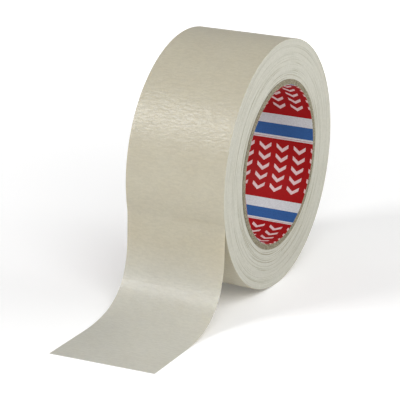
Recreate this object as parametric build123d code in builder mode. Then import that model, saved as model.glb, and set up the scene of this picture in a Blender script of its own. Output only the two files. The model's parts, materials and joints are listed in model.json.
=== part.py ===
import os
from math import cos, degrees, radians, sin

from build123d import *

# A roll of crepe-paper masking tape on a wound board core, standing on its edge with the
# free end of the tape drawn forwards on to the surface. Millimetres. The origin is the
# centre of the core, +X lies along the bore, +Z is up and the free end runs towards -Y.

# Roll
roll_width = 50.0
roll_radius = 60.0
tape_thickness = 0.12
running_gap = 0.05

# Core: a printed paper liner with board plies wound over it on a slant
bore_radius = 38.1
liner_thickness = 0.12
ply_thickness = 0.52
ply_count = 5
seam_width = 0.3
seam_pitch = 143.0
seam_turn = 137.5

# Free end, from the line where it peels off the roll down to its cut edge
peel_angle = 14.0
peel_clearance = 0.05
lap_gap = 1.6
drop_end = -26.6
bend_handle_top = 24.7
bend_handle_floor = 25.8
floor_contact = -97.4
cut_edge = -126.2
cut_skew = 3.5

liner_radius = bore_radius + liner_thickness
core_radius = liner_radius + ply_count * ply_thickness
lap_radius = roll_radius - tape_thickness
wound_radius = lap_radius - running_gap
peel_y = -roll_radius * cos(radians(peel_angle))
peel_z = -roll_radius * sin(radians(peel_angle))

os.makedirs("parts", exist_ok=True)


def tube(inner, outer):
    """A plain tube of the roll's width around the bore."""
    with BuildPart() as ring:
        with BuildSketch(Plane.YZ):
            Circle(outer)
            Circle(inner, mode=Mode.SUBTRACT)
        extrude(amount=roll_width / 2, both=True)
    return ring.part


def spiral_ply(inner, turned):
    """One board strip wound on a slant, its edges meeting in a helical butt seam."""
    with BuildPart() as ply:
        add(tube(inner, inner + ply_thickness))
        with BuildLine():
            seam = Helix(
                pitch=seam_pitch,
                height=2 * roll_width,
                radius=inner + ply_thickness / 2,
                center=(-roll_width, 0, 0),
                direction=(1, 0, 0),
            )
        with BuildSketch(Plane(origin=seam @ 0, x_dir=(0, 0, 1), z_dir=seam % 0)):
            Rectangle(4 * ply_thickness, seam_width)
        sweep(path=seam, is_frenet=True, mode=Mode.SUBTRACT)
    return ply.part.rotate(Axis.X, turned)


def save(piece, label):
    """Name one finished piece and write it out."""
    piece.label = label
    export_step(piece, f"parts/{label}.step")


# Printed liner: the innermost paper ply, which forms the wall of the bore
printed_liner = tube(bore_radius, liner_radius)
save(printed_liner, "printed_liner")

# Board plies: each seam is turned away from the last, so no two lie over each other
for index in range(ply_count):
    core_ply = spiral_ply(liner_radius + index * ply_thickness, index * seam_turn)
    save(core_ply, f"core_ply_{index + 1}")

# Wound tape: every turn below the outermost one
wound_tape = tube(core_radius, wound_radius)
save(wound_tape, "wound_tape")

# Outermost turn: runs from the peel line over the top and round to just below it
lap_angle = degrees((lap_gap - peel_clearance) / 2 / roll_radius)
with BuildPart() as outer_turn:
    with BuildSketch(Plane.YZ):
        Circle(roll_radius)
        Circle(lap_radius, mode=Mode.SUBTRACT)
        with PolarLocations(roll_radius, 1, start_angle=180 + peel_angle + lap_angle):
            Rectangle(roll_radius / 10, lap_gap + peel_clearance, mode=Mode.SUBTRACT)
    extrude(amount=roll_width / 2, both=True)
save(outer_turn.part, "outer_turn")

# Free end: drops from the peel line, bends forwards and lies flat up to its cut edge,
# which was cut a little askew
drop_y = peel_y + tape_thickness / 2
flat_z = tape_thickness / 2 - roll_radius
with BuildPart() as free_end:
    with BuildSketch(Plane.YZ):
        with BuildLine():
            Line((drop_y, peel_z), (drop_y, drop_end))
            Bezier(
                (drop_y, drop_end),
                (drop_y, drop_end - bend_handle_top),
                (floor_contact + bend_handle_floor, flat_z),
                (floor_contact, flat_z),
            )
            Line((floor_contact, flat_z), (cut_edge, flat_z))
        trace(line_width=tape_thickness)
    extrude(amount=roll_width / 2, both=True)
    cut_plane = Plane(
        origin=(-roll_width / 2, cut_edge, flat_z),
        x_dir=(roll_width, cut_skew, 0),
        z_dir=(-cut_skew, roll_width, 0),
    )
    split(bisect_by=cut_plane, keep=Keep.TOP)
save(free_end.part, "free_end")
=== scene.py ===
import json
from math import cos, pi, radians, sin, tan

import bpy
from mathutils import Matrix, Vector


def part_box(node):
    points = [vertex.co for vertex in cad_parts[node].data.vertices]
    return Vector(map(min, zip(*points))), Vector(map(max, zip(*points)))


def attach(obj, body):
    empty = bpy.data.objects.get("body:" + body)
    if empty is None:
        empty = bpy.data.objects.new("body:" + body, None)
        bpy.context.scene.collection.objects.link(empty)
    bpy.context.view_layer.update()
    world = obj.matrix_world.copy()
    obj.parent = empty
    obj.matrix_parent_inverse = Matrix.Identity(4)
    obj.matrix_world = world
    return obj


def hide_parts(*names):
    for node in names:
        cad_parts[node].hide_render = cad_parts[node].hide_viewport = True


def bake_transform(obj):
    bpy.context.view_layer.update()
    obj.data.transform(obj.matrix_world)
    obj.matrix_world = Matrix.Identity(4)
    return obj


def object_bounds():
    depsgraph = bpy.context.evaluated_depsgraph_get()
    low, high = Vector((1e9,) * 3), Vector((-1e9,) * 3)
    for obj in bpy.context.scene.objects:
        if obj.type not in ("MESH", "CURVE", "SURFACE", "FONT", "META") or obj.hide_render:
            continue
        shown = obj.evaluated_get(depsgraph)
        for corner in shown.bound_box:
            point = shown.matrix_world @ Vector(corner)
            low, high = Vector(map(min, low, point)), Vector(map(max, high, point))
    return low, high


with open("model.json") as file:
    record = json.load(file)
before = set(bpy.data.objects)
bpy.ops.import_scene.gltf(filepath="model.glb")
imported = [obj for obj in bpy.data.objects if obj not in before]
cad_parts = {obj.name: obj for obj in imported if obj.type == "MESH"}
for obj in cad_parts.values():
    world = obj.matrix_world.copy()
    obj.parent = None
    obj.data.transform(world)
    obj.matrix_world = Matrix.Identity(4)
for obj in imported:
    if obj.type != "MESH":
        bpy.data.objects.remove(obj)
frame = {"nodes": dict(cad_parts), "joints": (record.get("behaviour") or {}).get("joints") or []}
cad_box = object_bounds()

# Printed liner: the paper strip that faces the bore. It is offset printed in red, white and
# blue bands, wound once round, and glued down where its end laps over its start.
liner_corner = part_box("printed_liner")[1]
liner_outside = liner_corner[2]
half_width = liner_corner[0]
liner_paper = 0.00012
lap_length = 0.006
lap_angle = radians(200.0)
lap_rise = radians(3.4)
glue_film = 0.00001
liner_steps = 240


def hex_linear(code):
    """An sRGB hex colour as linear red, green, blue and alpha."""
    channels = [int(code[place:place + 2], 16) / 255 for place in (1, 3, 5)]
    return [c / 12.92 if c <= 0.04045 else ((c + 0.055) / 1.055) ** 2.4
            for c in channels] + [1.0]


def add(tree, kind, inputs=None, **settings):
    """Adds a node, makes its settings, and sets or links each input by its name or number."""
    node = tree.nodes.new(kind)
    for name, value in settings.items():
        setattr(node, name, value)
    for key, value in (inputs or {}).items():
        if isinstance(value, bpy.types.NodeSocket):
            tree.links.new(value, node.inputs[key])
        else:
            node.inputs[key].default_value = value
    return node


def new_material(name):
    """A material with an empty node tree, and the tree."""
    material = bpy.data.materials.new(name)
    material.use_nodes = True
    material.node_tree.nodes.clear()
    return material, material.node_tree


# Offset-printed label paper: flat inks with a faint mottle where the paper's fibres take less
# of them. It is uncoated, so that it hardly shines. The fibres' clumps are 0.3 mm across and
# are drawn 0.7 mm across, so that they show.
clump_size = 0.0007
print_repeat = 0.04455
white_band = 0.00545
blue_band = 0.0064
line_band = 0.0018
hairline_start, hairline_end = 0.0128, 0.0131
red_start = white_band + blue_band + line_band
first_band = 0.1191
column_pitch = 0.0093
column_centre = 0.0181
chevron_half = 0.0032
chevron_slope = 0.75
chevron_pitch = 0.0051
chevron_stroke = 0.0019
chevron_count = 5
column_start = red_start + 0.0048
spare_repeats, spare_columns = 4, 10

printed_paper, tree = new_material("offset_printed_paper")
place = add(tree, "ShaderNodeSeparateXYZ",
            {0: add(tree, "ShaderNodeUVMap", uv_map="print").outputs[0]}).outputs


def maths(tree, operation, *values):
    """One step of arithmetic in a material or a geometry tree."""
    return add(tree, "ShaderNodeMath", dict(enumerate(values)), operation=operation).outputs[0]


# Spare repeats and columns keep each modulo's number above zero, because below it a modulo
# runs backwards.
shifted = maths(tree, "SUBTRACT", place["X"], first_band - spare_repeats * print_repeat)
within = maths(tree, "MODULO", shifted, print_repeat)
share = maths(tree, "DIVIDE", within, print_repeat)
bands = add(tree, "ShaderNodeValToRGB", {0: share})
bands.color_ramp.interpolation = "CONSTANT"
stops = [(0.0, "#CCD2D4"), (white_band, "#315C97"), (white_band + blue_band, "#CCD1D2"),
         (hairline_start, "#BF9090"), (hairline_end, "#D0D0D0"), (red_start, "#9D0D11")]
for number, (start, code) in enumerate(stops):
    stop = bands.color_ramp.elements[0] if number == 0 else \
        bands.color_ramp.elements.new(start / print_repeat)
    stop.position = start / print_repeat
    stop.color = hex_linear(code)
while len(bands.color_ramp.elements) > len(stops):
    bands.color_ramp.elements.remove(bands.color_ramp.elements[-1])
from_column = maths(tree, "SUBTRACT",
                    maths(tree, "MODULO",
                          maths(tree, "SUBTRACT", place["Y"],
                                column_centre - (spare_columns + 0.5) * column_pitch),
                          column_pitch),
                    0.5 * column_pitch)
off_centre = maths(tree, "ABSOLUTE", from_column)
lean = maths(tree, "MULTIPLY", off_centre, chevron_slope)
slant = maths(tree, "SUBTRACT", maths(tree, "ADD", within, lean), column_start)
in_stroke = maths(tree, "LESS_THAN", maths(tree, "MODULO", slant, chevron_pitch), chevron_stroke)
in_width = maths(tree, "LESS_THAN", off_centre, chevron_half)
in_length = maths(tree, "MULTIPLY", maths(tree, "GREATER_THAN", slant, 0.0),
                  maths(tree, "LESS_THAN", slant, chevron_count * chevron_pitch))
chevrons = maths(tree, "MULTIPLY", in_stroke, maths(tree, "MULTIPLY", in_width, in_length))
inked = add(tree, "ShaderNodeMix", {"Factor": chevrons, 6: bands.outputs[0],
                                    7: hex_linear("#DCC4C4")}, data_type="RGBA").outputs[2]
object_place = add(tree, "ShaderNodeTexCoord").outputs["Object"]
ink_mottle = add(tree, "ShaderNodeTexNoise",
                 {"Vector": object_place, "Scale": 1 / clump_size, "Detail": 3.0}).outputs["Fac"]
ink_strength = add(tree, "ShaderNodeMapRange",
                   {0: ink_mottle, 1: 0.3, 2: 0.7, 3: 0.88, 4: 1.08}).outputs[0]
ink = add(tree, "ShaderNodeVectorMath", {0: inked, 3: ink_strength}, operation="SCALE")
grain = add(tree, "ShaderNodeBump", {"Height": ink_mottle, "Strength": 0.25,
                                     "Distance": 0.00003})
shader = add(tree, "ShaderNodeBsdfPrincipled",
             {"Base Color": ink.outputs[0], "Roughness": 0.6, "IOR": 1.5,
              "Specular IOR Level": 0.15, "Normal": grain.outputs[0]})
add(tree, "ShaderNodeOutputMaterial", {"Surface": shader.outputs[0]})

# The strip's end steps inwards over its start, by the thickness of the paper and the glue.
turn_end = 2 * pi + lap_length / liner_outside
points, faces, print_places = [], [], []
for step in range(liner_steps + 1):
    turned = turn_end * step / liner_steps
    over = min(max((turned - 2 * pi + lap_rise) / lap_rise, 0.0), 1.0)
    outside = liner_outside - (liner_paper + glue_film) * over * over * (3 - 2 * over)
    angle = lap_angle - turned
    for radius, side in ((outside, -1), (outside, 1), (outside - liner_paper, 1),
                         (outside - liner_paper, -1)):
        points.append((side * half_width, radius * cos(angle), radius * sin(angle)))
        print_places.append((turned * liner_outside, side * half_width))
for step in range(liner_steps):
    first = 4 * step
    for corner in range(4):
        following = (corner + 1) % 4
        faces.append((first + following, first + 4 + following, first + 4 + corner,
                      first + corner))
last = 4 * liner_steps
faces.append((3, 2, 1, 0))
faces.append((last, last + 1, last + 2, last + 3))
liner_mesh = bpy.data.meshes.new("liner")
liner_mesh.from_pydata(points, [], faces)
uv = liner_mesh.uv_layers.new(name="print")
for loop in liner_mesh.loops:
    uv.data[loop.index].uv = print_places[loop.vertex_index]
liner_mesh.materials.append(printed_paper)
liner = bpy.data.objects.new("liner", liner_mesh)
bpy.context.collection.objects.link(liner)
for face in liner_mesh.polygons:
    face.use_smooth = True
liner_mesh.set_sharp_from_angle(angle=radians(35))
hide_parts("printed_liner")
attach(liner, "roll")

# Board core: five plies of grey chipboard wound over the liner and glued to one another. The
# cut ends show the recycled fibre and the darker glue line between two plies.
ply_thickness = 0.00052
glue_line = 0.00015
pulp_speck = 0.0008
pulp_lump = 0.006
lump_height = 0.0002
ply_names = [name for name in frame["nodes"] if name.startswith("core_ply")]

# Grey chipboard: unbleached recycled pulp, matt and speckled with darker and paler fibre. The
# glue line is 0.05 mm wide and the specks are 0.3 mm. Both are drawn wider, so that they show.
chipboard, tree = new_material("wound_grey_chipboard")
object_place = add(tree, "ShaderNodeTexCoord").outputs["Object"]
across = add(tree, "ShaderNodeVectorMath", {0: object_place, 1: (0.0, 1.0, 1.0)},
             operation="MULTIPLY").outputs[0]
radius = add(tree, "ShaderNodeVectorMath", {0: across}, operation="LENGTH").outputs["Value"]
fibre = add(tree, "ShaderNodeTexNoise", {"Vector": object_place, "Scale": 1 / pulp_speck,
                                         "Detail": 3.0, "Roughness": 0.65}).outputs["Fac"]
pulp = add(tree, "ShaderNodeMapRange", {0: fibre, 1: 0.36, 2: 0.64}).outputs[0]
lump = add(tree, "ShaderNodeTexNoise", {"Vector": object_place, "Scale": 1 / pulp_lump,
                                        "Detail": 2.0}).outputs["Fac"]
wander = maths(tree, "MULTIPLY", maths(tree, "SUBTRACT", lump, 0.5), lump_height)
from_liner = maths(tree, "ADD", maths(tree, "SUBTRACT", radius, liner_outside), wander)
to_glue = maths(tree, "ABSOLUTE",
                maths(tree, "SUBTRACT",
                      maths(tree, "MODULO", maths(tree, "ADD", from_liner, 0.5 * ply_thickness),
                            ply_thickness), 0.5 * ply_thickness))
glue = add(tree, "ShaderNodeMapRange", {0: to_glue, 1: 0.0, 2: glue_line, 3: 0.6, 4: 0.0})
board = add(tree, "ShaderNodeMix", {"Factor": pulp, 6: hex_linear("#645D4C"),
                                    7: hex_linear("#9D967F")}, data_type="RGBA").outputs[2]
glued = add(tree, "ShaderNodeMix", {"Factor": glue.outputs[0], 6: board,
                                    7: hex_linear("#5E5644")}, data_type="RGBA").outputs[2]
relief = add(tree, "ShaderNodeBump", {"Height": fibre, "Strength": 0.6, "Distance": 0.00012})
shader = add(tree, "ShaderNodeBsdfPrincipled",
             {"Base Color": glued, "Roughness": 0.88, "IOR": 1.45, "Specular IOR Level": 0.3,
              "Normal": relief.outputs[0]})
add(tree, "ShaderNodeOutputMaterial", {"Surface": shader.outputs[0]})
for name in ply_names:
    ply = frame["nodes"][name]
    ply.data.materials.clear()
    ply.data.materials.append(chipboard)

# Wound tape: some 158 turns of the tape, wound tight on the core and slit to width with the
# roll. Its two faces are the slit edges of the turns, each a hair proud or shy of the next.
core_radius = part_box("core_ply_5")[1][2]
wound_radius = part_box("wound_tape")[1][2]
tape_thickness = 0.00012
turn_count = round((wound_radius - core_radius) / tape_thickness)

# Slit crepe edges: stacked paper edges, matt and a little translucent. Turns that sit back
# from the rest are in shade, and that shade is painted: thin darker rings, darkest near the
# core, and a painted shade that deepens with each turn's own scatter of setback. A turn is
# 0.12 mm thick. The rings are drawn 0.42 mm apart, and wander a little, so that they show.
ring_spacing = 0.00042
ring_wander = 1.1
fuzz_size = 0.0011
outer_band = 0.004
ring_shade, sunk_shade = 0.95, 0.25
slit_edges, tree = new_material("slit_crepe_paper_edges")
object_place = add(tree, "ShaderNodeTexCoord").outputs["Object"]
across = add(tree, "ShaderNodeVectorMath", {0: object_place, 1: (0.0, 1.0, 1.0)},
             operation="MULTIPLY").outputs[0]
radius = add(tree, "ShaderNodeVectorMath", {0: across}, operation="LENGTH").outputs["Value"]
heading = add(tree, "ShaderNodeVectorMath", {0: across}, operation="NORMALIZE").outputs[0]
setback_shade_mask = add(tree, "ShaderNodeAttribute", attribute_name="shy").outputs["Fac"]
ring_place = add(tree, "ShaderNodeVectorMath",
                 {0: heading, 1: (ring_wander, ring_wander, ring_wander),
                  2: add(tree, "ShaderNodeCombineXYZ",
                         {0: maths(tree, "DIVIDE", radius, ring_spacing)}).outputs[0]},
                 operation="MULTIPLY_ADD").outputs[0]
rings = add(tree, "ShaderNodeTexNoise", {"Vector": ring_place, "Scale": 1.0, "Detail": 2.0,
                                         "Roughness": 0.6}).outputs["Fac"]
near_core = add(tree, "ShaderNodeMapRange",
                {0: radius, 1: core_radius, 2: wound_radius - outer_band,
                 3: 1.0, 4: 0.42}).outputs[0]
line = add(tree, "ShaderNodeMapRange", {0: rings, 1: 0.36, 2: 0.46, 3: 1.0, 4: 0.0}).outputs[0]
fuzz = add(tree, "ShaderNodeTexNoise", {"Vector": object_place, "Scale": 1 / fuzz_size,
                                        "Detail": 3.0}).outputs["Fac"]
# Painted shade: the rings, strongest near the core, and each turn's setback darken the edge
# colour.
painted_ring_shade = maths(tree, "MULTIPLY", maths(tree, "MULTIPLY", line, near_core), ring_shade)
painted_shade = maths(tree, "ADD", painted_ring_shade, maths(tree, "MULTIPLY", setback_shade_mask, sunk_shade))
edge_colour_and_shade = add(tree, "ShaderNodeMix", {"Factor": painted_shade, 6: hex_linear("#BCBBB0"),
                                          7: hex_linear("#88846F")}, data_type="RGBA").outputs[2]
fuzz_strength = add(tree, "ShaderNodeMapRange",
                    {0: fuzz, 1: 0.35, 2: 0.65, 3: 0.96, 4: 1.04}).outputs[0]
edge_tint = add(tree, "ShaderNodeVectorMath", {0: edge_colour_and_shade, 3: fuzz_strength},
                operation="SCALE").outputs[0]
relief_height = maths(tree, "SUBTRACT", fuzz, maths(tree, "MULTIPLY", line, near_core))
relief = add(tree, "ShaderNodeBump", {"Height": relief_height, "Strength": 0.3,
                                      "Distance": 0.00008})
shader = add(tree, "ShaderNodeBsdfPrincipled",
             {"Base Color": edge_tint, "Roughness": 0.8, "IOR": 1.45, "Specular IOR Level": 0.3,
              "Subsurface Weight": 0.3, "Subsurface Radius": (1.0, 0.9, 0.7),
              "Subsurface Scale": 0.0008, "Normal": relief.outputs[0]})
add(tree, "ShaderNodeOutputMaterial", {"Surface": shader.outputs[0]})

# The sheet's rows run outwards over one face and back over the other, one to a turn. Each turn
# sits back by its own scatter and by slower bands. The last turns are nearly flush, so that
# the strip round them meets them without a step.
scatter_by_turn, scatter_by_angle, band_by_angle = 1.7, 0.8, 0.5
face_shift = 7.0
flush_share = 0.1
corner_angle = 0.9
wound_turns = bpy.data.node_groups.new("wound_turns", "GeometryNodeTree")
tree = wound_turns
tree.interface.new_socket("Roll", in_out="INPUT", socket_type="NodeSocketGeometry")
for name, kind in (("Core Radius", "Float"), ("Wound Radius", "Float"), ("Tape Width", "Float"),
                   ("Turn Count", "Int"), ("Steps Around", "Int"), ("Edge Scatter", "Float"),
                   ("Band Unevenness", "Float"), ("Band Width", "Float"),
                   ("Flush Turns", "Float"), ("Seed", "Float"), ("Edges", "Material")):
    tree.interface.new_socket(name, in_out="INPUT", socket_type="NodeSocket" + kind)
tree.interface.new_socket("Wound Tape", in_out="OUTPUT", socket_type="NodeSocketGeometry")
given = add(tree, "NodeGroupInput").outputs
rows = maths(tree, "ADD", maths(tree, "MULTIPLY", given["Turn Count"], 2.0), 2.0)
sheet = add(tree, "GeometryNodeMeshGrid",
            {"Size X": 1.0, "Size Y": 1.0,
             "Vertices X": maths(tree, "ADD", given["Steps Around"], 1.0),
             "Vertices Y": maths(tree, "ADD", rows, 1.0)}).outputs["Mesh"]
flat = add(tree, "ShaderNodeSeparateXYZ",
           {0: add(tree, "GeometryNodeInputPosition").outputs[0]}).outputs
row = maths(tree, "ROUND", maths(tree, "MULTIPLY", maths(tree, "ADD", flat["Y"], 0.5), rows))
row = maths(tree, "FLOORED_MODULO", row, rows)
turn = maths(tree, "MINIMUM", row, maths(tree, "SUBTRACT", maths(tree, "SUBTRACT", rows, 1.0),
                                         row))
right = maths(tree, "LESS_THAN", row, maths(tree, "ADD", given["Turn Count"], 0.5))
side = maths(tree, "SUBTRACT", maths(tree, "MULTIPLY", right, 2.0), 1.0)
radius = maths(tree, "ADD", given["Core Radius"],
               maths(tree, "MULTIPLY", maths(tree, "DIVIDE", turn, given["Turn Count"]),
                     maths(tree, "SUBTRACT", given["Wound Radius"], given["Core Radius"])))
angle = maths(tree, "MULTIPLY", maths(tree, "ADD", flat["X"], 0.5), -2 * pi)
across = maths(tree, "COSINE", angle)
upward = maths(tree, "SINE", angle)
scatter_place = add(tree, "ShaderNodeCombineXYZ",
                    {0: maths(tree, "MULTIPLY", turn, scatter_by_turn),
                     1: maths(tree, "MULTIPLY", across, scatter_by_angle),
                     2: maths(tree, "MULTIPLY", upward, scatter_by_angle)}).outputs[0]
seed = maths(tree, "ADD", given["Seed"], maths(tree, "MULTIPLY", side, face_shift))
scatter = add(tree, "ShaderNodeTexNoise", {"Vector": scatter_place, "W": seed, "Scale": 1.0,
                                           "Detail": 0.0}, noise_dimensions="4D").outputs["Fac"]
band_place = add(tree, "ShaderNodeCombineXYZ",
                 {0: maths(tree, "DIVIDE", radius, given["Band Width"]),
                  1: maths(tree, "MULTIPLY", across, band_by_angle),
                  2: maths(tree, "MULTIPLY", upward, band_by_angle)}).outputs[0]
band = add(tree, "ShaderNodeTexNoise", {"Vector": band_place, "W": seed, "Scale": 1.0,
                                        "Detail": 2.0}, noise_dimensions="4D").outputs["Fac"]
shy = maths(tree, "ADD", maths(tree, "MULTIPLY", scatter, given["Edge Scatter"]),
            maths(tree, "MULTIPLY", band, given["Band Unevenness"]))
from_last = maths(tree, "DIVIDE", maths(tree, "SUBTRACT", given["Turn Count"], turn),
                  given["Flush Turns"])
flush = maths(tree, "MAXIMUM", maths(tree, "MINIMUM", from_last, 1.0), flush_share)
shy = maths(tree, "MULTIPLY", shy, flush)
reach = maths(tree, "SUBTRACT", maths(tree, "MULTIPLY", given["Tape Width"], 0.5), shy)
turned_place = add(tree, "ShaderNodeCombineXYZ",
                   {0: maths(tree, "MULTIPLY", side, reach),
                    1: maths(tree, "MULTIPLY", radius, across),
                    2: maths(tree, "MULTIPLY", radius, upward)}).outputs[0]
# Each turn's scatter is also kept as the attribute shy, from which the edges' material paints
# shade.
sheet = add(tree, "GeometryNodeStoreNamedAttribute",
            {"Geometry": sheet, "Name": "shy", "Value": scatter},
            data_type="FLOAT", domain="POINT").outputs[0]
sheet = add(tree, "GeometryNodeSetPosition", {"Geometry": sheet,
                                              "Position": turned_place}).outputs[0]
sheet = add(tree, "GeometryNodeMergeByDistance", {"Geometry": sheet,
                                                  "Distance": 0.00001}).outputs[0]
rounded = maths(tree, "LESS_THAN",
                add(tree, "GeometryNodeInputMeshEdgeAngle").outputs[0], corner_angle)
sheet = add(tree, "GeometryNodeSetShadeSmooth", {"Geometry": sheet}, domain="FACE").outputs[0]
sheet = add(tree, "GeometryNodeSetShadeSmooth", {"Geometry": sheet, "Shade Smooth": rounded},
            domain="EDGE").outputs[0]
sheet = add(tree, "GeometryNodeRealizeInstances", {"Geometry": sheet}).outputs[0]
sheet = add(tree, "GeometryNodeSetMaterial", {"Geometry": sheet,
                                              "Material": given["Edges"]}).outputs[0]
add(tree, "NodeGroupOutput", {0: sheet})


def built_by(tree, name, host, **sizes):
    """A plain mesh of what a geometry tree makes on host, which is then removed."""
    bpy.context.collection.objects.link(host)
    making = host.modifiers.new("making", "NODES")
    making.node_group = tree
    sockets = {item.name: item.identifier for item in tree.interface.items_tree
               if item.item_type == "SOCKET" and item.in_out == "INPUT"}
    for size, value in sizes.items():
        making[sockets[size.replace("_", " ")]] = value
    host.data.update_tag()
    bpy.context.view_layer.update()
    made = bpy.data.meshes.new_from_object(
        host.evaluated_get(bpy.context.evaluated_depsgraph_get()))
    made.name = name
    finish = made.materials[-1]
    made.materials.clear()
    made.materials.append(finish)
    piece = bpy.data.objects.new(name, made)
    bpy.context.collection.objects.link(piece)
    bpy.data.objects.remove(host)
    return piece


wound = built_by(wound_turns, "wound_turns_of_tape",
                 bpy.data.objects.new("wound_host", bpy.data.meshes.new("wound_host")),
                 Core_Radius=core_radius, Wound_Radius=wound_radius,
                 Tape_Width=2 * half_width, Turn_Count=turn_count, Steps_Around=180,
                 Edge_Scatter=0.00012, Band_Unevenness=0.0003, Band_Width=0.0022,
                 Flush_Turns=16.0, Seed=3.0, Edges=slit_edges)
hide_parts("wound_tape")
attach(wound, "roll")

# Outermost turn and free end: one continuous length of the tape. It starts just below the peel
# line, goes once round the roll, leaves it at the front, bends forwards and lies on the
# surface. Only its own adhesive holds it, and its end was cut a little askew.
roll_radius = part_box("outer_turn")[1][2]
end_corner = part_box("free_end")[0]
peel_angle = radians(14.0)
peel_joint = next(joint for joint in frame["joints"] if joint["name"] == "lift_free_end")
peel_line = Vector(peel_joint["pos_m"])
lap_gap = 0.0016
lift_off = 0.0015
drop_start = -0.0172
drop_end = -0.0266
bend_handle_top = 0.0247
bend_handle_floor = 0.0258
floor_contact = -0.0974
cut_edge = end_corner[1]
cut_skew = 0.0035
turn_start = peel_angle + lap_gap / roll_radius
turn_stop = peel_angle + 2 * pi - lift_off / roll_radius
peel_reach = (turn_stop - turn_start) * roll_radius + lift_off

# Saturated crepe paper: thin kraft creped into fine ridges across the strip and soaked with
# latex. The latex gives it a satin sheen, which breaks up into short wavy lines where it
# catches the creases. Where the strip is drawn off the roll as a single layer, its colour is
# painted paler and less yellow than the turns, which show through one another: painted light
# from the white floor through the single sheet. The creases also tint the colour, darker in
# their troughs and lighter on their crests: partly the paper's own tone, partly painted shade.
# The ridges are about 0.3 mm apart. They are drawn 0.43 mm apart and the creases 0.95 mm
# apart, so that they show.
ridge_step, ridge_run = 0.00043, 0.0022
crease_step, crease_run = 0.00095, 0.0029
fibre_clump = 0.0009
cloud_size = 0.013
pale_from, pale_after = 0.008, 0.034
crepe_paper, tree = new_material("saturated_crepe_paper")
strip_place = add(tree, "ShaderNodeUVMap", uv_map="strip").outputs[0]
ridge_place = add(tree, "ShaderNodeVectorMath",
                  {0: strip_place, 1: (1 / ridge_step, 1 / ridge_run, 1.0)},
                  operation="MULTIPLY").outputs[0]
fine_ridges = add(tree, "ShaderNodeTexNoise", {"Vector": ridge_place, "Scale": 1.0,
                                               "Detail": 3.0, "Roughness": 0.6,
                                               "Distortion": 0.5}).outputs["Fac"]
crease_place = add(tree, "ShaderNodeVectorMath",
                   {0: strip_place, 1: (1 / crease_step, 1 / crease_run, 1.0)},
                   operation="MULTIPLY").outputs[0]
creases = add(tree, "ShaderNodeTexNoise", {"Vector": crease_place, "Scale": 1.0,
                                           "Detail": 0.5, "Roughness": 0.5,
                                           "Distortion": 0.9}).outputs["Fac"]
fibres = add(tree, "ShaderNodeTexNoise", {"Vector": strip_place, "Scale": 1 / fibre_clump,
                                          "Detail": 4.0}).outputs["Fac"]
cloud = add(tree, "ShaderNodeTexNoise", {"Vector": strip_place, "Scale": 1 / cloud_size,
                                         "Detail": 3.0}).outputs["Fac"]
# The roll's own colour, and a paler, less yellow copy for the single layer: painted light through
# the sheet.
stacked = add(tree, "ShaderNodeMix", {"Factor": cloud, 6: hex_linear("#BBB5A1"),
                                      7: hex_linear("#B5AD99")}, data_type="RGBA").outputs[2]
painted_through_light_colour = add(tree, "ShaderNodeMix", {"Factor": cloud, 6: hex_linear("#C1C0B6"),
                                        7: hex_linear("#BBB8AD")}, data_type="RGBA").outputs[2]
reach = add(tree, "ShaderNodeSeparateXYZ", {0: strip_place}).outputs["X"]
through_light_share = add(tree, "ShaderNodeMapRange",
                   {0: reach, 1: peel_reach + pale_from, 2: peel_reach + pale_after},
                   interpolation_type="SMOOTHSTEP").outputs[0]
paper_with_painted_light = add(tree, "ShaderNodeMix", {"Factor": through_light_share, 6: stacked, 7: painted_through_light_colour},
              data_type="RGBA").outputs[2]
fibre_strength = add(tree, "ShaderNodeMapRange",
                     {0: fibres, 1: 0.35, 2: 0.65, 3: 0.98, 4: 1.02}).outputs[0]
# Darker in the crease troughs, lighter on the crests: paper tone and painted shade.
crease_tone_and_shade = add(tree, "ShaderNodeMapRange",
                      {0: creases, 1: 0.35, 2: 0.65, 3: 0.965, 4: 1.035}).outputs[0]
paper_colour = add(tree, "ShaderNodeVectorMath",
                   {0: paper_with_painted_light, 3: maths(tree, "MULTIPLY", fibre_strength, crease_tone_and_shade)},
                   operation="SCALE").outputs[0]
relief = add(tree, "ShaderNodeBump", {"Height": fine_ridges, "Strength": 0.5,
                                      "Distance": 0.00008})
wrinkles = add(tree, "ShaderNodeBump", {"Height": creases, "Strength": 1.0,
                                        "Distance": 0.00021})
shader = add(tree, "ShaderNodeBsdfPrincipled",
             {"Base Color": paper_colour, "Roughness": 0.5, "IOR": 1.45,
              "Specular IOR Level": 0.3, "Coat Weight": 0.62, "Coat Roughness": 0.28,
              "Coat IOR": 1.5, "Coat Normal": wrinkles.outputs[0],
              "Subsurface Weight": 0.3, "Subsurface Radius": (1.0, 0.85, 0.6),
              "Subsurface Scale": 0.0006, "Normal": relief.outputs[0]})
add(tree, "ShaderNodeOutputMaterial", {"Surface": shader.outputs[0]})

# Rubber-resin adhesive: a clear film coated on the inner side of the paper, slightly yellow
# and smoother than the backing, so that it looks a little wet. It lies in patches 3.6 mm wide.
patch_size = 0.0036
adhesive, tree = new_material("rubber_resin_adhesive")
strip_place = add(tree, "ShaderNodeUVMap", uv_map="strip").outputs[0]
coating = add(tree, "ShaderNodeTexNoise", {"Vector": strip_place, "Scale": 1 / patch_size,
                                           "Detail": 3.0}).outputs["Fac"]
film = add(tree, "ShaderNodeMix", {"Factor": coating, 6: hex_linear("#BBB292"),
                                   7: hex_linear("#C4BB9D")}, data_type="RGBA").outputs[2]
relief = add(tree, "ShaderNodeBump", {"Height": coating, "Strength": 0.3, "Distance": 0.00006})
shader = add(tree, "ShaderNodeBsdfPrincipled",
             {"Base Color": film, "Roughness": 0.3, "IOR": 1.5, "Subsurface Weight": 0.3,
              "Subsurface Radius": (1.0, 0.85, 0.6), "Subsurface Scale": 0.0006,
              "Normal": relief.outputs[0]})
add(tree, "ShaderNodeOutputMaterial", {"Surface": shader.outputs[0]})

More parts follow.
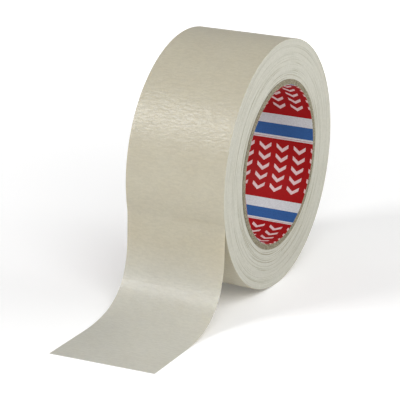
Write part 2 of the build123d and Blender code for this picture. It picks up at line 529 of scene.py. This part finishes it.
# A flat sheet is laid along the path, with ridges raised off it. It is shortened step by step
# from one edge to the other, which gives the end its askew cut.
creped_strip = bpy.data.node_groups.new("creped_strip", "GeometryNodeTree")
tree = creped_strip
tree.interface.new_socket("Path", in_out="INPUT", socket_type="NodeSocketGeometry")
for name, kind in (("Tape Width", "Float"), ("Cut Skew", "Float"), ("Step Along", "Float"),
                   ("Step Across", "Float"), ("Ridge Height", "Float"),
                   ("Ridge Spacing", "Float"), ("Ridge Length", "Float"), ("Seed", "Float"),
                   ("Paper", "Material")):
    tree.interface.new_socket(name, in_out="INPUT", socket_type="NodeSocket" + kind)
tree.interface.new_socket("Strip", in_out="OUTPUT", socket_type="NodeSocketGeometry")
given = add(tree, "NodeGroupInput").outputs
length = add(tree, "GeometryNodeCurveLength", {0: given["Path"]}).outputs[0]
sheet = add(tree, "GeometryNodeMeshGrid",
            {"Size X": length, "Size Y": given["Tape Width"],
             "Vertices X": maths(tree, "DIVIDE", length, given["Step Along"]),
             "Vertices Y": maths(tree, "ADD", 1.0,
                                 maths(tree, "DIVIDE", given["Tape Width"],
                                       given["Step Across"]))}).outputs["Mesh"]
flat = add(tree, "ShaderNodeSeparateXYZ",
           {0: add(tree, "GeometryNodeInputPosition").outputs[0]}).outputs
across = flat["Y"]
share_across = maths(tree, "ADD", maths(tree, "DIVIDE", across, given["Tape Width"]), 0.5)
shortened = maths(tree, "SUBTRACT", length, maths(tree, "MULTIPLY", share_across,
                                                  given["Cut Skew"]))
along = maths(tree, "MULTIPLY", maths(tree, "ADD", maths(tree, "DIVIDE", flat["X"], length), 0.5),
              shortened)
spot = add(tree, "GeometryNodeSampleCurve", {"Curves": given["Path"], "Length": along},
           mode="LENGTH").outputs
outward = add(tree, "ShaderNodeVectorMath", {0: spot["Tangent"], 1: (1.0, 0.0, 0.0)},
              operation="CROSS_PRODUCT").outputs[0]
ridge_place = add(tree, "ShaderNodeCombineXYZ",
                  {0: maths(tree, "DIVIDE", along, given["Ridge Spacing"]),
                   1: maths(tree, "DIVIDE", across, given["Ridge Length"]),
                   2: given["Seed"]}).outputs[0]
ridges = add(tree, "ShaderNodeTexNoise", {"Vector": ridge_place, "Scale": 1.0, "Detail": 2.0,
                                          "Roughness": 0.5, "Distortion": 0.8}).outputs["Fac"]
height = maths(tree, "MULTIPLY", maths(tree, "SUBTRACT", ridges, 0.5), given["Ridge Height"])
lifted = add(tree, "ShaderNodeVectorMath", {0: outward, 3: height}, operation="SCALE").outputs[0]
laid = add(tree, "ShaderNodeVectorMath",
           {0: spot["Position"], 1: lifted}, operation="ADD").outputs[0]
laid = add(tree, "ShaderNodeVectorMath",
           {0: laid, 1: add(tree, "ShaderNodeCombineXYZ", {0: across}).outputs[0]},
           operation="ADD").outputs[0]
strip_place = add(tree, "ShaderNodeCombineXYZ", {0: along, 1: across}).outputs[0]
sheet = add(tree, "GeometryNodeStoreNamedAttribute",
            {"Geometry": sheet, "Name": "strip", "Value": strip_place},
            data_type="FLOAT2", domain="CORNER").outputs[0]
sheet = add(tree, "GeometryNodeSetPosition", {"Geometry": sheet, "Position": laid}).outputs[0]
sheet = add(tree, "GeometryNodeSetShadeSmooth", {"Geometry": sheet}).outputs[0]
sheet = add(tree, "GeometryNodeRealizeInstances", {"Geometry": sheet}).outputs[0]
sheet = add(tree, "GeometryNodeSetMaterial", {"Geometry": sheet,
                                              "Material": given["Paper"]}).outputs[0]
add(tree, "NodeGroupOutput", {0: sheet})


def on_roll(turned):
    """A point (y, z) of the roll's round, and the way the tape runs there."""
    return (Vector((-roll_radius * cos(turned), -roll_radius * sin(turned))),
            Vector((sin(turned), -cos(turned))))


# The tape's line from the lap to the cut: arcs round the roll, the lift off it just before
# the peel line, a straight drop, the bend and the flat. Each knot is (handle before, point,
# handle after).
arcs = 12
arc_handle = 4 / 3 * tan((turn_stop - turn_start) / arcs / 4) * roll_radius
lift_handle = 0.6 * lift_off
drop_lead, drop_handle = 0.0018, 0.003
flat_handle = 0.01
knots = []
for arc in range(arcs + 1):
    point, ahead = on_roll(turn_start + (turn_stop - turn_start) * arc / arcs)
    after = lift_handle if arc == arcs else arc_handle
    knots.append((point - ahead * arc_handle, point, point + ahead * after))
drop_y = peel_line[1]
floor_z = end_corner[2] + tape_thickness
down, forward = Vector((0, -1)), Vector((-1, 0))
drop_top, drop_foot = Vector((drop_y, drop_start)), Vector((drop_y, drop_end))
contact, cut = Vector((floor_contact, floor_z)), Vector((cut_edge, floor_z))
knots.append((drop_top - down * drop_lead, drop_top, drop_top + down * drop_handle))
knots.append((drop_foot - down * drop_handle, drop_foot, drop_foot + down * bend_handle_top))
knots.append((contact - forward * bend_handle_floor, contact, contact + forward * flat_handle))
knots.append((cut - forward * flat_handle, cut, cut))
path = bpy.data.curves.new("tape_line", "CURVE")
path.dimensions = "3D"
path.resolution_u = 64
line = path.splines.new("BEZIER")
line.bezier_points.add(len(knots) - 1)
for knot, (before, point, after) in zip(line.bezier_points, knots):
    knot.handle_left_type = knot.handle_right_type = "FREE"
    knot.handle_left, knot.co, knot.handle_right = (0, *before), (0, *point), (0, *after)

tape = built_by(creped_strip, "tape_with_free_end", bpy.data.objects.new("tape_line", path),
                Tape_Width=2 * half_width, Cut_Skew=cut_skew, Step_Along=0.0003,
                Step_Across=0.002, Ridge_Height=0.00010, Ridge_Spacing=0.0012,
                Ridge_Length=0.0050, Seed=5.0, Paper=crepe_paper)
tape.data.materials.append(adhesive)
backing = tape.modifiers.new("thickness", "SOLIDIFY")
backing.thickness = tape_thickness
backing.offset = -1.0
backing.material_offset = 1
tape.data = bpy.data.meshes.new_from_object(
    tape.evaluated_get(bpy.context.evaluated_depsgraph_get()))
tape.modifiers.clear()
tape.data.set_sharp_from_angle(angle=radians(50))
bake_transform(tape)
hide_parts("outer_turn", "free_end")

# Studio: a white floor and backdrop. A small light on the left of the roll gives the tape its
# sheen, and wide ones on the right, behind and on the left lift the faces and soften shadows.
floor_half = 3.0
near_floor, far_floor = 0.12, 0.9
near_glow, far_glow = 0.11, 0.85
room_light = 0.27
backdrop_white = 0.97
lamp_distance = 1.6

# Matt white floor: rolled paint, lit evenly. It also glows, faintly by the roll and more away
# from it: painted light, so that it stays white out to the backdrop, as a lit studio sweep does.
floor_paint, tree = new_material("matt_white_floor")
from_middle = add(tree, "ShaderNodeVectorMath",
                  {0: add(tree, "ShaderNodeTexCoord").outputs["Object"]},
                  operation="LENGTH").outputs["Value"]
glow = add(tree, "ShaderNodeMapRange", {0: from_middle, 1: near_floor, 2: far_floor,
                                        3: near_glow, 4: far_glow},
           interpolation_type="SMOOTHSTEP").outputs[0]
shader = add(tree, "ShaderNodeBsdfPrincipled",
             {"Base Color": hex_linear("#FBFBFB"), "Roughness": 0.9, "Specular IOR Level": 0.1,
              "Emission Color": hex_linear("#FFFFFF"), "Emission Strength": glow})
add(tree, "ShaderNodeOutputMaterial", {"Surface": shader.outputs[0]})
floor_height = cad_box[0][2]
floor_mesh = bpy.data.meshes.new("floor")
floor_mesh.from_pydata([(-floor_half, -floor_half, floor_height),
                        (floor_half, -floor_half, floor_height),
                        (floor_half, floor_half, floor_height),
                        (-floor_half, floor_half, floor_height)], [], [(0, 1, 2, 3)])
floor_mesh.materials.append(floor_paint)
floor = bpy.data.objects.new("floor", floor_mesh)
bpy.context.collection.objects.link(floor)

world = bpy.data.worlds.new("studio")
bpy.context.scene.world = world
world.use_nodes = True
tree = world.node_tree
tree.nodes.clear()
seen = add(tree, "ShaderNodeLightPath").outputs["Is Camera Ray"]
brightness = add(tree, "ShaderNodeMapRange", {0: seen, 3: room_light, 4: backdrop_white})
backdrop = add(tree, "ShaderNodeBackground",
               {0: hex_linear("#FFFFFF"), 1: brightness.outputs[0]})
add(tree, "ShaderNodeOutputWorld", {0: backdrop.outputs[0]})


def softbox(name, direction, size, power):
    """A square area light that faces the roll from that direction."""
    light = bpy.data.lights.new(name, "AREA")
    light.size = size
    light.energy = power
    lamp = bpy.data.objects.new(name, light)
    lamp.location = Vector(direction).normalized() * lamp_distance
    lamp.rotation_euler = Vector(direction).to_track_quat("Z", "Y").to_euler()
    bpy.context.collection.objects.link(lamp)


softbox("main_light", (-0.437, -0.565, 0.52), 0.4, 8.1)
softbox("front_right_light", (0.5, -0.6, 0.8), 1.2, 12.8)
softbox("back_light", (0.8, 0.55, 0.45), 1.6, 13.0)
softbox("left_light", (-0.9, 0.1, 0.5), 1.6, 3.2)

# Camera: a long lens at the right of the roll's front, a little above it.
camera_place = (0.33226, -0.68846, 0.22835)
azimuth, elevation, camera_lean = radians(26.922), radians(18.136), radians(1.0465)
back = Vector((sin(azimuth) * cos(elevation), -cos(azimuth) * cos(elevation), sin(elevation)))
level = Vector((cos(azimuth), sin(azimuth), 0.0))
right = level * cos(camera_lean) + back.cross(level) * sin(camera_lean)
above = back.cross(right)
lens = bpy.data.cameras.new("camera")
lens.lens = 149.7
lens.sensor_width = 36.0
lens.clip_end = 20.0
camera = bpy.data.objects.new("camera", lens)
camera.matrix_world = (Matrix.Translation(camera_place)
                       @ Matrix((right, above, back)).transposed().to_4x4())
bpy.context.collection.objects.link(camera)
bpy.context.scene.camera = camera
bpy.context.scene.view_settings.view_transform = "Standard"
